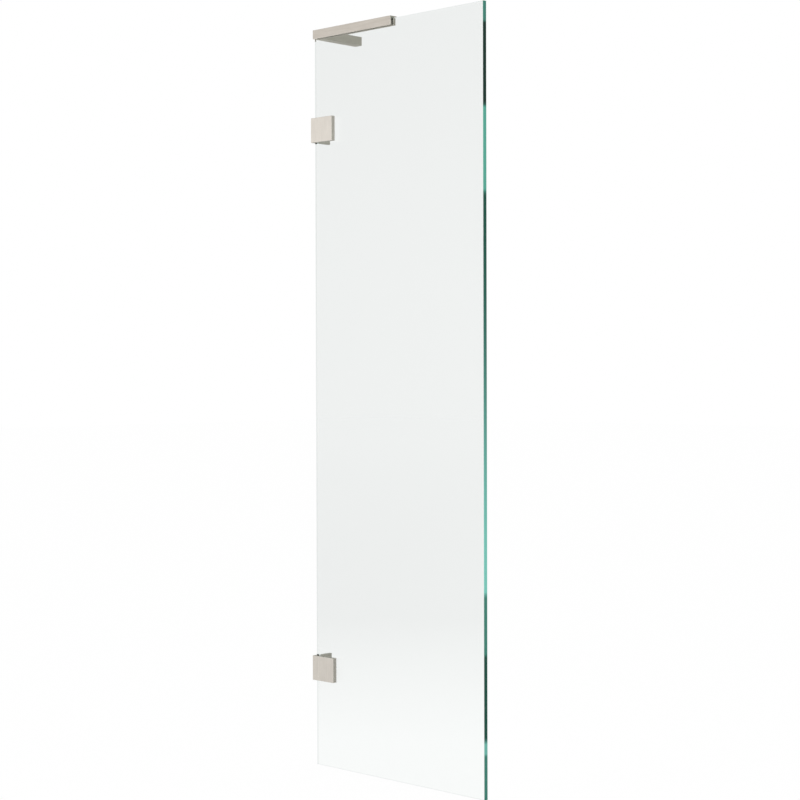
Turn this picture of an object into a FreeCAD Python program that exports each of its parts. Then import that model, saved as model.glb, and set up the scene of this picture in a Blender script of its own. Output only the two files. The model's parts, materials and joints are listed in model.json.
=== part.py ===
import FreeCAD, Part
import math
import os

# Frameless fixed bath screen: one glass panel that stands at a right angle to a wall, two wall
# brackets that clamp its wall edge and an angle bar that grips its top edge and runs along the wall.
# Millimetres. X runs along the glass away from the wall, Y from the bare face of the glass to the
# side where the wall legs are, Z up. The origin is the middle of the glass's bottom edge.

Vector = FreeCAD.Vector
ALONG_X = Vector(1, 0, 0)
ALONG_Y = Vector(0, 1, 0)
ALONG_Z = Vector(0, 0, 1)

# Glass panel
glass_width = 460.0
glass_height = 1500.0
glass_thick = 8.0
glass_arris = 0.5
wall_gap = 2.0

# Wall brackets, two alike
bracket_inset = 200.0
bracket_height = 50.0
plate_reach = 61.0
plate_thick = 9.0
wall_leg_thick = 6.5
wall_leg_reach = 34.0
edge_break = 0.6

# Block that lines the notch in the glass, where the neck of a bracket passes through
block_thick = 2.0
notch_radius = 3.0

# Clamp plate behind the glass, with its pads, sleeves and screws
clamp_width = 34.0
clamp_thick = 5.0
clamp_inset = 5.0
clamp_gap = 1.0
pad_thick = 1.0
pad_inset = 1.5
plate_skin = 3.0
clamp_screw_margin = 9.0
clamp_screw_radius = 3.0
clamp_head_flare = 3.0
sleeve_wall = 1.7
clamp_socket_across = 4.0
clamp_socket_depth = 2.6

# Wall screw holes in the brackets
wall_hole_radius = 2.75
wall_hole_flare = 2.65
wall_hole_margin = 12.0

# Angle bar on the top edge
rail_length = 222.0
rail_grip = 13.0
front_lip = 3.0
back_lip = 6.0
rail_web = 4.0
bar_edge_break = 0.5
bar_leg_reach = 107.0
gasket_inset = 0.5
gasket_rise = 2.5

# Screws that hold the rail on the glass
rail_screw_count = 3
rail_screw_margin = 30.0

# Wall strip hidden in the back of the bar's wall leg
strip_end_wall = 8.5
strip_thick = 6.0
strip_height = 10.0
strip_head_room = 4.0
strip_hole_radius = 2.25
strip_hole_margin = 15.0
strip_screw_pitch = 24.0

# Grub screws in the bar
grub_radius = 2.0
grub_socket_across = 2.0
grub_socket_depth = 1.6

# Clearances
fit_gap = 0.1
thread_gap = 0.05
drill_run_out = 1.0
strip_gap = 0.2
shank_gap = 0.2

# Places worked out from the sizes above
wall_x = -glass_width / 2 - wall_gap
glass_edge_x = -glass_width / 2
front_y = -glass_thick / 2
back_y = glass_thick / 2
plate_back_y = front_y - pad_thick
plate_front_y = plate_back_y - plate_thick
clamp_front_y = back_y + pad_thick
clamp_back_y = clamp_front_y + clamp_thick
wall_leg_end_y = back_y + wall_leg_reach
wall_leg_x = wall_x + wall_leg_thick
clamp_x = wall_leg_x + clamp_gap
clamp_middle_x = clamp_x + clamp_width / 2
neck_half = bracket_height / 2
notch_half = neck_half + block_thick
clamp_height = bracket_height - 2 * clamp_inset
clamp_screw_pitch = clamp_height - 2 * clamp_screw_margin
clamp_hole_depth = plate_thick - plate_skin
clamp_head_radius = clamp_screw_radius + clamp_head_flare
shank_hole_radius = clamp_screw_radius + shank_gap
sleeve_radius = shank_hole_radius + sleeve_wall
wall_hole_y = (clamp_back_y + wall_leg_end_y) / 2
wall_hole_pitch = bracket_height - 2 * wall_hole_margin
slot_top_z = glass_height + pad_thick
bar_top_z = slot_top_z + rail_web
bar_bottom_z = glass_height - rail_grip
bar_front_y = plate_back_y - front_lip
bar_back_y = clamp_front_y + back_lip
bar_leg_x = wall_x + bar_back_y - bar_front_y
bar_leg_end_y = bar_back_y + bar_leg_reach
rail_end_x = wall_x + rail_length
strip_length = bar_leg_reach - 2 * strip_end_wall
strip_hole_pitch = strip_length - 2 * strip_hole_margin
strip_middle_y = (bar_back_y + bar_leg_end_y) / 2
strip_middle_z = (bar_bottom_z + bar_top_z) / 2
bracket_heights = {"upper": glass_height - bracket_inset, "lower": bracket_inset}


def box(low, high):
    """A block between two opposite corners."""
    size = Vector(*high) - Vector(*low)
    return Part.makeBox(size.x, size.y, size.z, Vector(*low))


def broken(shape, size):
    """The same solid with every edge broken by a small chamfer."""
    return shape.makeChamfer(size, shape.Edges)


def angle(across, out, low_z, height):
    """An L that starts at the wall: one leg out from it, between the first two places across, and
    one leg along it, from there to the last place across."""
    front, inner, end = across
    leg, tip = out
    corners = [(wall_x, front), (tip, front), (tip, inner), (leg, inner), (leg, end), (wall_x, end)]
    points = [Vector(x, y, low_z) for x, y in corners]
    return Part.Face(Part.makePolygon(points + points[:1])).extrude(ALONG_Z * height)


def obround(middle, length, height, thick):
    """A bar with round ends: its length along Y, its height along Z, its thickness along +X."""
    half, radius = (length - height) / 2, height / 2
    up, out = ALONG_Z * radius, ALONG_Y * half
    tip = ALONG_Y * (half + radius)
    sides = [
        Part.LineSegment(middle - out + up, middle + out + up),
        Part.Arc(middle + out + up, middle + tip, middle + out - up),
        Part.LineSegment(middle + out - up, middle - out - up),
        Part.Arc(middle - out - up, middle - tip, middle - out + up),
    ]
    return Part.Face(Part.Wire([side.toShape() for side in sides])).extrude(ALONG_X * thick)


def hex_socket(mouth, into, across, depth):
    """The hexagonal hole of a socket screw that is square to X, from its mouth inwards."""
    corner = across / math.sqrt(3)
    side, up = ALONG_X * corner, into.cross(ALONG_X) * corner
    turns = [math.radians(60 * step) for step in range(6)]
    points = [mouth + side * math.cos(turn) + up * math.sin(turn) for turn in turns]
    return Part.Face(Part.makePolygon(points + points[:1])).extrude(into * depth)


def sink(mouth, into, radius, hole_radius):
    """The right-angled cone that takes a countersunk head."""
    return Part.makeCone(radius, hole_radius, radius - hole_radius, mouth, into)


def countersunk_hole(mouth, into, sink_radius, radius, depth):
    """A drilled hole with its countersink at the mouth."""
    return Part.makeCylinder(radius, depth, mouth, into).fuse(sink(mouth, into, sink_radius, radius))


def countersunk_screw(mouth, into, head_radius, radius, length):
    """A countersunk socket screw whose head is flush with the mouth."""
    head = sink(mouth, into, head_radius, radius)
    shank = Part.makeCylinder(radius, length, mouth, into)
    socket = hex_socket(mouth, into, clamp_socket_across, clamp_socket_depth)
    return head.fuse(shank).removeSplitter().cut(socket)


def grub_screw(mouth, into, length):
    """A headless socket screw, its socket at the mouth."""
    body = Part.makeCylinder(grub_radius, length, mouth, into)
    return body.cut(hex_socket(mouth, into, grub_socket_across, grub_socket_depth))


def clamp_screw_places(middle_z, y):
    """Where the two clamp screws of a bracket cross the plane at y."""
    return [Vector(clamp_middle_x, y, middle_z + side * clamp_screw_pitch / 2) for side in (-1, 1)]


def shank_holes(middle_z, y, depth):
    """Clearance holes for the two clamp screws of a bracket, from y towards the back."""
    return [Part.makeCylinder(shank_hole_radius, depth, place, ALONG_Y)
            for place in clamp_screw_places(middle_z, y)]


def notch(middle_z, gap):
    """The notch in the wall edge of the glass: the neck, the block around it and a gap all round."""
    half = notch_half + gap
    reach = wall_leg_x + block_thick + gap
    space = box((wall_x, front_y, middle_z - half), (reach, back_y, middle_z + half))
    inner = [edge for edge in space.Edges if abs(edge.CenterOfMass.x - reach) < 1e-6
             and abs(edge.CenterOfMass.y) < 1e-6]
    return space.makeFillet(notch_radius, inner)


def glass_panel():
    """Toughened glass with ground edges, notched and drilled for the two brackets."""
    sheet = broken(box((glass_edge_x, front_y, 0), (-glass_edge_x, back_y, glass_height)), glass_arris)
    cuts = []
    for middle_z in bracket_heights.values():
        cuts.append(notch(middle_z, fit_gap))
        for place in clamp_screw_places(middle_z, front_y):
            cuts.append(Part.makeCylinder(sleeve_radius + fit_gap, glass_thick, place, ALONG_Y))
    return sheet.cut(cuts)


def bracket(middle_z):
    """The angle body: a front plate, and a wall leg that passes through the glass to the other side."""
    across, out = (plate_front_y, plate_back_y, wall_leg_end_y), (wall_leg_x, wall_x + plate_reach)
    body = broken(angle(across, out, middle_z - bracket_height / 2, bracket_height), edge_break)
    cuts = []
    for side in (-1, 1):
        mouth = Vector(wall_leg_x, wall_hole_y, middle_z + side * wall_hole_pitch / 2)
        sink_radius = wall_hole_radius + wall_hole_flare
        cuts.append(countersunk_hole(mouth, -ALONG_X, sink_radius, wall_hole_radius, wall_leg_thick))
    for place in clamp_screw_places(middle_z, plate_back_y):
        cuts.append(Part.makeCylinder(clamp_screw_radius + thread_gap, clamp_hole_depth, place, -ALONG_Y))
    return body.cut(cuts)


def neck_block(middle_z):
    """The rubber block between the neck and the glass, which carries the glass on the bracket and
    shows as a dark rim above and below the front plate."""
    neck = box((wall_x, front_y, middle_z - neck_half), (wall_leg_x, back_y, middle_z + neck_half))
    wall_side = box((wall_x, front_y, middle_z - notch_half), (glass_edge_x, back_y, middle_z + notch_half))
    return notch(middle_z, 0).cut([neck, wall_side])


def front_pad(middle_z):
    """The pad between the front plate and the glass, cut out round the notch and the screws."""
    edge = bracket_height / 2 - pad_inset
    sheet = box(
        (glass_edge_x + pad_inset, plate_back_y, middle_z - edge),
        (wall_x + plate_reach - pad_inset, front_y, middle_z + edge),
    )
    round_notch = notch(middle_z, fit_gap).translated(-ALONG_Y * pad_thick)
    reach, half = sleeve_radius + pad_inset, clamp_screw_pitch / 2 + sleeve_radius + pad_inset
    round_screws = box(
        (glass_edge_x, plate_back_y, middle_z - half),
        (clamp_middle_x + reach, front_y, middle_z + half),
    )
    return sheet.cut([round_notch, round_screws])


def clamp_outline(middle_z, low_y, high_y):
    """A block with the outline of the clamp plate."""
    half = clamp_height / 2
    return box((clamp_x, low_y, middle_z - half), (clamp_x + clamp_width, high_y, middle_z + half))


def back_pad(middle_z):
    """The pad between the clamp plate and the glass."""
    sheet = clamp_outline(middle_z, back_y, clamp_front_y)
    return sheet.cut(shank_holes(middle_z, back_y, pad_thick))


def clamp_plate(middle_z):
    """The plate behind the glass that its two screws draw towards the front plate."""
    plate = broken(clamp_outline(middle_z, clamp_front_y, clamp_back_y), edge_break)
    sink_radius = clamp_head_radius + fit_gap
    return plate.cut([countersunk_hole(place, -ALONG_Y, sink_radius, shank_hole_radius, clamp_thick)
                      for place in clamp_screw_places(middle_z, clamp_back_y)])


def clamp_screws(middle_z):
    """The two socket screws of a bracket, through the glass into the front plate."""
    length = clamp_back_y - plate_back_y + clamp_hole_depth - drill_run_out
    return Part.makeCompound([
        countersunk_screw(place, -ALONG_Y, clamp_head_radius, clamp_screw_radius, length)
        for place in clamp_screw_places(middle_z, clamp_back_y)
    ])


def screw_sleeves(middle_z):
    """The plastic sleeves that keep the screws off the glass."""
    rods = [Part.makeCylinder(sleeve_radius, glass_thick, place, ALONG_Y)
            for place in clamp_screw_places(middle_z, front_y)]
    bores = shank_holes(middle_z, front_y, glass_thick)
    return Part.makeCompound([rod.cut(bore) for rod, bore in zip(rods, bores)])


def rail_screw_places():
    """Mouths of the screws in the rail's back lip, evenly spaced."""
    first, last = bar_leg_x + rail_screw_margin, rail_end_x - rail_screw_margin
    step = (last - first) / (rail_screw_count - 1)
    middle_z = bar_bottom_z + rail_grip / 2
    return [Vector(first + step * count, bar_back_y, middle_z) for count in range(rail_screw_count)]


def strip_screw_places():
    """Mouths of the screws under the bar's wall leg that lock it on the wall strip."""
    x = wall_x + strip_thick / 2
    return [Vector(x, strip_middle_y + side * strip_screw_pitch / 2, bar_bottom_z) for side in (-1, 1)]


def angle_bar():
    """The top bar, one welded angle: a slotted rail over the glass and a leg along the wall."""
    across, out = (bar_front_y, bar_back_y, bar_leg_end_y), (bar_leg_x, rail_end_x)
    bar = broken(angle(across, out, bar_bottom_z, bar_top_z - bar_bottom_z), bar_edge_break)
    slot = box((wall_x, plate_back_y, bar_bottom_z), (rail_end_x, clamp_front_y, slot_top_z))
    pocket = obround(
        Vector(wall_x, strip_middle_y, strip_middle_z),
        strip_length + 2 * strip_gap,
        strip_height + 2 * strip_gap,
        strip_thick + strip_head_room,
    )
    thread_radius = grub_radius + thread_gap
    threads = [Part.makeCylinder(thread_radius, back_lip, place, -ALONG_Y) for place in rail_screw_places()]
    for place in strip_screw_places():
        threads.append(Part.makeCylinder(thread_radius, strip_middle_z - bar_bottom_z, place, ALONG_Z))
    return bar.cut([slot, pocket] + threads)


def rail_gasket():
    """The U-shaped rubber between the rail and the top edge of the glass."""
    low_z, end_x = bar_bottom_z + gasket_rise, rail_end_x - gasket_inset
    outer = box((glass_edge_x, plate_back_y, low_z), (end_x, clamp_front_y, slot_top_z))
    return outer.cut(box((glass_edge_x, front_y, low_z), (end_x, back_y, glass_height)))


def rail_grub_screws():
    """The grub screws in the rail's back lip, which press the gasket on the glass."""
    return Part.makeCompound([grub_screw(place, -ALONG_Y, back_lip) for place in rail_screw_places()])


def wall_strip():
    """The strip screwed to the wall, over which the bar's wall leg slides."""
    middle = Vector(wall_x, strip_middle_y, strip_middle_z)
    strip = obround(middle, strip_length, strip_height, strip_thick)
    mouths = [middle + ALONG_Y * (side * strip_hole_pitch / 2) for side in (-1, 1)]
    return strip.cut([Part.makeCylinder(strip_hole_radius, strip_thick, mouth, ALONG_X) for mouth in mouths])


def strip_grub_screws():
    """The grub screws under the bar's wall leg, which lock it on the wall strip."""
    length = strip_middle_z - strip_height / 2 - bar_bottom_z
    return Part.makeCompound([grub_screw(place, ALONG_Z, length) for place in strip_screw_places()])


nodes = {
    "glass_panel": glass_panel(),
    "angle_bar": angle_bar(),
    "rail_gasket": rail_gasket(),
    "rail_grub_screws": rail_grub_screws(),
    "wall_strip": wall_strip(),
    "strip_grub_screws": strip_grub_screws(),
}
for name, middle_z in bracket_heights.items():
    nodes[name + "_bracket"] = bracket(middle_z)
    nodes[name + "_neck_block"] = neck_block(middle_z)
    nodes[name + "_front_pad"] = front_pad(middle_z)
    nodes[name + "_back_pad"] = back_pad(middle_z)
    nodes[name + "_clamp_plate"] = clamp_plate(middle_z)
    nodes[name + "_clamp_screws"] = clamp_screws(middle_z)
    nodes[name + "_screw_sleeves"] = screw_sleeves(middle_z)

os.makedirs("parts", exist_ok=True)
for node, shape in nodes.items():
    shape.exportStep("parts/" + node + ".step")
    print(node, len(shape.Solids), "solids", shape.isValid(), round(shape.Volume / 1000, 2), "cm3")
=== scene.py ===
# %% [markdown]
# # A frameless bath screen
# This lesson dresses a glass bath screen: one sheet of toughened glass, two square clamp brackets
# that hold it to a wall and an angle bar along its top edge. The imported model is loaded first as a
# fixed frame, in metres. Its boxes give the pieces their sizes and places, so nothing is moved to fit
# afterwards. A length that no box gives, such as the rounding of an edge, is named where it is needed.

# %% Load the frame
import json
import math

import bmesh
import bpy
from mathutils import Matrix, Vector


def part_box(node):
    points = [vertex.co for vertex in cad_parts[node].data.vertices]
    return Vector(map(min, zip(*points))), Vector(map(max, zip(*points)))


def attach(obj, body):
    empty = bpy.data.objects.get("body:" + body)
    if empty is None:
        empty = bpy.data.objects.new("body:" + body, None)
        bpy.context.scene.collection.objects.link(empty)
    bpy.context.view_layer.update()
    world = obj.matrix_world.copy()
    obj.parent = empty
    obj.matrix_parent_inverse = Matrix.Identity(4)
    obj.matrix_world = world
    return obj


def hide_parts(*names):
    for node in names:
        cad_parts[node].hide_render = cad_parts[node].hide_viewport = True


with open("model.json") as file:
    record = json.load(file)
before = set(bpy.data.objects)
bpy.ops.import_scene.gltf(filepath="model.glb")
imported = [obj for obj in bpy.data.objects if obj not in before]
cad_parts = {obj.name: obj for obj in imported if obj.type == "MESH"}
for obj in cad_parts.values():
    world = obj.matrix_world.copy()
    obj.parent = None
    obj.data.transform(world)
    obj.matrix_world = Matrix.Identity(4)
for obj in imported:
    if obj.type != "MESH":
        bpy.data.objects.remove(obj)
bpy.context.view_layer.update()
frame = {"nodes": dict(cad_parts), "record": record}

# %% [markdown]
# ## Blocks and rods
# Most pieces of the screen start as a block or a rod. An operator acts on all that is selected, so
# each step first deselects everything. A block is a cube that is scaled to its two corners, and the
# scale is applied at once, so that the place of a piece lives in its mesh.

# %% Blocks and rods
MM = 0.001
ROUND_SIDES = 48
TO_FREE_EDGE = Vector((1, 0, 0))
TO_WALL = -TO_FREE_EDGE
TO_BACK = Vector((0, 1, 0))
TO_FRONT = -TO_BACK
UP = Vector((0, 0, 1))


def take(piece):
    """Make one object the only selected one, and the active one."""
    if bpy.context.mode != "OBJECT":
        bpy.ops.object.mode_set(mode="OBJECT")
    bpy.ops.object.select_all(action="DESELECT")
    piece.select_set(True)
    bpy.context.view_layer.objects.active = piece


def apply_place():
    """Write the selected object's place, turn and scale into its mesh."""
    bpy.ops.object.transform_apply(location=True, rotation=True, scale=True)


def add_block(name, low, high):
    """A cube stretched between two opposite corners."""
    low, high = Vector(low), Vector(high)
    bpy.ops.object.select_all(action="DESELECT")
    bpy.ops.mesh.primitive_cube_add(size=1, location=(low + high) / 2, scale=high - low)
    apply_place()
    bpy.context.object.name = name
    return bpy.context.object


def add_rod(name, start, end, radius, sides=ROUND_SIDES, tip=None):
    """A cylinder between two points, or a cone where the far end has another radius."""
    start, end = Vector(start), Vector(end)
    turn = (end - start).to_track_quat("Z", "Y").to_euler()
    bpy.ops.object.select_all(action="DESELECT")
    bpy.ops.mesh.primitive_cone_add(
        vertices=sides, radius1=radius, radius2=radius if tip is None else tip,
        depth=(end - start).length, location=(start + end) / 2, rotation=turn)
    apply_place()
    bpy.context.object.name = name
    return bpy.context.object


print("Block and rod helpers ready")

# %% [markdown]
# ## Edit mode
# What a block can't be by itself, such as an angle, is sliced and extruded in edit mode. Faces could
# be clicked on by hand. Here they are picked in code, by where they lie and which way they look, so
# that the same steps still work when a size changes.

# %% Edit mode
STRAIGHT = 0.9
MERGE = 0.001 * MM


def edit(piece, mode="FACE"):
    """Open a piece in edit mode with nothing selected."""
    take(piece)
    bpy.ops.object.mode_set(mode="EDIT")
    bpy.ops.mesh.select_mode(type=mode)
    bpy.ops.mesh.select_all(action="DESELECT")


def looks(normal, way):
    """Whether a face with this normal looks straight along a direction."""
    return normal.dot(way) > STRAIGHT


def pick_faces(piece, test):
    """Select the faces whose middle and normal pass a test."""
    mesh = bmesh.from_edit_mesh(piece.data)
    bpy.ops.mesh.select_all(action="DESELECT")
    for face in mesh.faces:
        if test(face.calc_center_median(), face.normal):
            face.select_set(True)
    bmesh.update_edit_mesh(piece.data)


def slice_at(place, normal):
    """Cut every face of the open piece along a plane, without removing anything."""
    bpy.ops.mesh.select_all(action="SELECT")
    bpy.ops.mesh.bisect(plane_co=place, plane_no=normal)


def extrude(move):
    """Pull the selected faces out along a straight line."""
    bpy.ops.mesh.extrude_region_move(TRANSFORM_OT_translate={"value": tuple(move)})


def face_outwards():
    """Merge doubles, turn all normals outwards and leave edit mode."""
    bpy.ops.mesh.select_all(action="SELECT")
    bpy.ops.mesh.remove_doubles(threshold=MERGE)
    bpy.ops.mesh.normals_make_consistent(inside=False)
    bpy.ops.object.mode_set(mode="OBJECT")


print("Edit mode helpers ready")

# %% [markdown]
# ## Modifiers
# What happens to every edge alike, such as rounding, is left to a modifier, and so is drilling: a
# Boolean takes a cutter out of a piece. Each is applied at once, because the next step needs its faces.

# %% Modifiers and the last steps of a piece
SHARP_ANGLE, SMOOTH_ANGLE = math.radians(40), math.radians(35)
ROUND_STEPS = 3
EDGE_SLOT = 1


def apply_modifier(piece, kind, **settings):
    """Add a modifier, give it its settings and apply it."""
    modifier = piece.modifiers.new(kind.title(), kind)
    for name, value in settings.items():
        setattr(modifier, name, value)
    take(piece)
    bpy.ops.object.modifier_apply(modifier=modifier.name)


def round_edges(piece, width):
    """Round every sharp edge, and put the rounded faces in the slot of the buffed metal with its painted
    highlight.
    """
    apply_modifier(piece, "BEVEL", width=width, segments=ROUND_STEPS, limit_method="ANGLE",
                   angle_limit=SHARP_ANGLE, material=EDGE_SLOT)


def cut_away(piece, cutters):
    """Subtract each cutter from a piece, and delete it."""
    for cutter in cutters:
        apply_modifier(piece, "BOOLEAN", object=cutter, operation="DIFFERENCE", solver="EXACT")
        bpy.data.objects.remove(cutter)


def smooth(piece):
    """Smooth the rounded parts and keep the flats flat."""
    take(piece)
    bpy.ops.object.shade_smooth_by_angle(angle=SMOOTH_ANGLE)
    apply_modifier(piece, "WEIGHTED_NORMAL", keep_sharp=True)
    print(piece.name, len(piece.data.polygons), "faces")


def finish_piece(piece, node):
    """Ride on the one body and stand for its CAD node."""
    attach(piece, "root")
    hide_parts(node)


print("Modifier helpers ready")

# %% [markdown]
# ## Nodes
# Every finish is made of nodes, so that it needs no image. A few helpers add a node with its values,
# map one range to another and mix two colours, and a finish then reads as a list of its effects.

# %% Node helpers
def new_group(name, inputs, outputs):
    """An empty shader node group with its sockets."""
    group = bpy.data.node_groups.new(name, "ShaderNodeTree")
    for label, kind, value in inputs:
        group.interface.new_socket(label, in_out="INPUT", socket_type=kind).default_value = value
    for label, kind in outputs:
        group.interface.new_socket(label, in_out="OUTPUT", socket_type=kind)
    return group, group.nodes.new("NodeGroupInput"), group.nodes.new("NodeGroupOutput")


def add_node(tree, kind, **settings):
    """A node with its settings and its plain input values."""
    node = tree.nodes.new(kind)
    values = settings.pop("values", {})
    for name, value in settings.items():
        setattr(node, name, value)
    for name, value in values.items():
        node.inputs[name].default_value = value
    return node


def remap(tree, source, low, high, start=0.0, end=1.0):
    """Map a value from one range to another, and return the socket that holds it."""
    node = add_node(tree, "ShaderNodeMapRange", values={
        "From Min": start, "From Max": end, "To Min": low, "To Max": high})
    tree.links.new(source, node.inputs["Value"])
    return node.outputs["Result"]


def blend_colours(tree, factor, first, second):
    """Mix two colours by a mask."""
    node = add_node(tree, "ShaderNodeMix", data_type="RGBA")
    tree.links.new(factor, node.inputs["Factor"])
    for socket, colour in ((node.inputs[6], first), (node.inputs[7], second)):
        if isinstance(colour, tuple):
            socket.default_value = (*colour, 1)
        else:
            tree.links.new(colour, socket)
    return node.outputs[2]


print("Node helpers ready")

# %% [markdown]
# ## Node groups
# Two effects come back in several finishes, so each is a shader node group with named inputs.
# "Brushing" makes fine streaks: noise that is stretched a long way in one direction and very little
# in the others. "Grain" is an even speckle for rubber and plastic. Both read Object coordinates, so
# they stay on the piece whatever its shape is. Noise seldom leaves the middle of its range, so that
# middle is spread over 0 to 1.

# %% Brushing and grain
NOISE_MIDDLE = (0.3, 0.7)


def make_brushing():
    """Fine streaks and a slow, broad change of tone beside them."""
    streaks = ("Streaks per metre", "NodeSocketVector", (2500, 2500, 25))
    clouds = ("Clouds per metre", "NodeSocketFloat", 40)
    group, given, result = new_group(
        "Brushing", [streaks, clouds], [("Streaks", "NodeSocketFloat"), ("Clouds", "NodeSocketFloat")])
    place = add_node(group, "ShaderNodeTexCoord")
    stretch = add_node(group, "ShaderNodeVectorMath", operation="MULTIPLY")
    fine = add_node(group, "ShaderNodeTexNoise", values={"Scale": 1.0, "Detail": 4.0, "Roughness": 0.65})
    broad = add_node(group, "ShaderNodeTexNoise", values={"Detail": 2.0})
    group.links.new(place.outputs["Object"], stretch.inputs[0])
    group.links.new(given.outputs["Streaks per metre"], stretch.inputs[1])
    group.links.new(stretch.outputs["Vector"], fine.inputs["Vector"])
    group.links.new(place.outputs["Object"], broad.inputs["Vector"])
    group.links.new(given.outputs["Clouds per metre"], broad.inputs["Scale"])
    group.links.new(remap(group, fine.outputs["Fac"], 0, 1, *NOISE_MIDDLE), result.inputs["Streaks"])
    group.links.new(remap(group, broad.outputs["Fac"], 0, 1, *NOISE_MIDDLE), result.inputs["Clouds"])
    return group


def make_grain():
    """An even speckle for moulded rubber and plastic."""
    group, given, result = new_group(
        "Grain", [("Grains per metre", "NodeSocketFloat", 3000)], [("Grain", "NodeSocketFloat")])
    place = add_node(group, "ShaderNodeTexCoord")
    speckle = add_node(group, "ShaderNodeTexNoise", values={"Detail": 3.0, "Roughness": 0.6})
    group.links.new(place.outputs["Object"], speckle.inputs["Vector"])
    group.links.new(given.outputs["Grains per metre"], speckle.inputs["Scale"])
    group.links.new(remap(group, speckle.outputs["Fac"], 0, 1, *NOISE_MIDDLE), result.inputs["Grain"])
    return group


BRUSHING = make_brushing()
GRAIN = make_grain()
print("Node groups", BRUSHING.name, GRAIN.name)

# %% [markdown]
# ## Brushed metal
# Satin nickel is brushed in one direction. An even, rough metal would look cast, so fine streaks
# change the tone, the roughness and a very shallow bump together, as real scratches do.

# %% A brushed metal
SCRATCH_DEPTH = 0.05 * MM
CLOUD_SHADE = (0.96, 1.0)


def new_material(name):
    """An empty material, its node tree and its Principled shader."""
    material = bpy.data.materials.new(name)
    material.use_nodes = True
    tree = material.node_tree
    return material, tree, tree.nodes["Principled BSDF"]


def raise_bump(tree, shader, height, strength, depth):
    """Send a height through a Bump node to a shader's normal."""
    relief = add_node(tree, "ShaderNodeBump", values={"Strength": strength, "Distance": depth})
    tree.links.new(height, relief.inputs["Height"])
    tree.links.new(relief.outputs["Normal"], shader.inputs["Normal"])


def brushed_metal(name, dark, light, streaks, roughness, bump):
    """A metal whose streaks carry tone, roughness and bump."""
    material, tree, shader = new_material(name)
    shader.inputs["Metallic"].default_value = 1.0
    brushing = add_node(tree, "ShaderNodeGroup", node_tree=BRUSHING)
    brushing.inputs["Streaks per metre"].default_value = streaks
    tone = blend_colours(tree, brushing.outputs["Streaks"], dark, light)
    clouded = add_node(tree, "ShaderNodeMix", data_type="RGBA", blend_type="MULTIPLY")
    clouded.inputs["Factor"].default_value = 1.0
    tree.links.new(tone, clouded.inputs[6])
    tree.links.new(remap(tree, brushing.outputs["Clouds"], *CLOUD_SHADE), clouded.inputs[7])
    tree.links.new(clouded.outputs[2], shader.inputs["Base Color"])
    tree.links.new(remap(tree, brushing.outputs["Streaks"], *roughness), shader.inputs["Roughness"])
    raise_bump(tree, shader, brushing.outputs["Streaks"], bump, SCRATCH_DEPTH)
    return material


print("Brushed metal ready")

# %% [markdown]
# ## Metals of the screen
# The nickel is a warm grey. It is brushed up and down on the plates, and lengthwise on the two arms of
# the bar, which is brushed duller than the plates. The bar's rail is also darker, as painted shade. The
# rounded edges of a piece are buffed and get a lighter metal, which is also a painted highlight. Screws
# and the wall strip are plain stainless steel.

# %% The metals of the screen
NICKEL_DARK, NICKEL_LIGHT = (0.65, 0.605, 0.548), (0.79, 0.742, 0.676)
# Tones of the bar's rail: the plates' nickel, made darker as painted shade.
BAR_SHADED_DARK, BAR_SHADED_LIGHT = (0.58, 0.532, 0.474), (0.715, 0.666, 0.607)
# Lighter metal of the rounded edges: buffed, and partly a painted highlight.
EDGE_BUFFED_HIGHLIGHT = (0.84, 0.80, 0.74)
STEEL_DARK, STEEL_LIGHT = (0.50, 0.50, 0.49), (0.64, 0.64, 0.63)
ACROSS, ALONG, TURNED = 1600, 18, 3000
NICKEL_BUMP = 0.12
BAR_ROUGHNESS = (0.60, 0.48)

nickel_upright = brushed_metal(
    "nickel_upright", NICKEL_DARK, NICKEL_LIGHT,
    streaks=(ACROSS, ACROSS, ALONG), roughness=(0.36, 0.25), bump=NICKEL_BUMP)
nickel_bar_shaded = brushed_metal(
    "nickel_bar_shaded", BAR_SHADED_DARK, BAR_SHADED_LIGHT,
    streaks=(ALONG, ACROSS, ACROSS), roughness=BAR_ROUGHNESS, bump=NICKEL_BUMP)
nickel_leg = brushed_metal(
    "nickel_leg", NICKEL_DARK, NICKEL_LIGHT,
    streaks=(ACROSS, ALONG, ACROSS), roughness=BAR_ROUGHNESS, bump=NICKEL_BUMP)
# The buffed edge metal, made lighter as a painted highlight.
nickel_edge = brushed_metal(
    "nickel_edge", NICKEL_LIGHT, EDGE_BUFFED_HIGHLIGHT,
    streaks=(ACROSS, ACROSS, ACROSS), roughness=(0.30, 0.22), bump=0.04)
screw_steel = brushed_metal(
    "screw_steel", STEEL_DARK, STEEL_LIGHT,
    streaks=(TURNED, TURNED, TURNED), roughness=(0.38, 0.26), bump=0.10)
strip_steel = brushed_metal(
    "strip_steel", STEEL_DARK, STEEL_LIGHT,
    streaks=(ACROSS, ALONG, ACROSS), roughness=(0.50, 0.38), bump=0.15)
for metal in (nickel_upright, nickel_bar_shaded, nickel_leg, nickel_edge, screw_steel, strip_steel):
    print("Metal", metal.name)

# %% [markdown]
# ## Clear glass
# Clear float glass is almost colourless face on, and it takes a slight green from the iron in it. So
# the broad faces are plain glass with a barely uneven tint. A lamp's shadow rays would stop at such
# glass and leave a dark shadow, so they pass it unbent, by Light Path's Is Shadow Ray.

# %% Clear faces
GLASS_IOR = 1.52
GLASS_TINT, GLASS_TINT_DEEP = (0.948, 0.966, 0.957), (0.940, 0.959, 0.950)
GLASS_SHADOW = (0.94, 0.96, 0.95)


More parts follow.
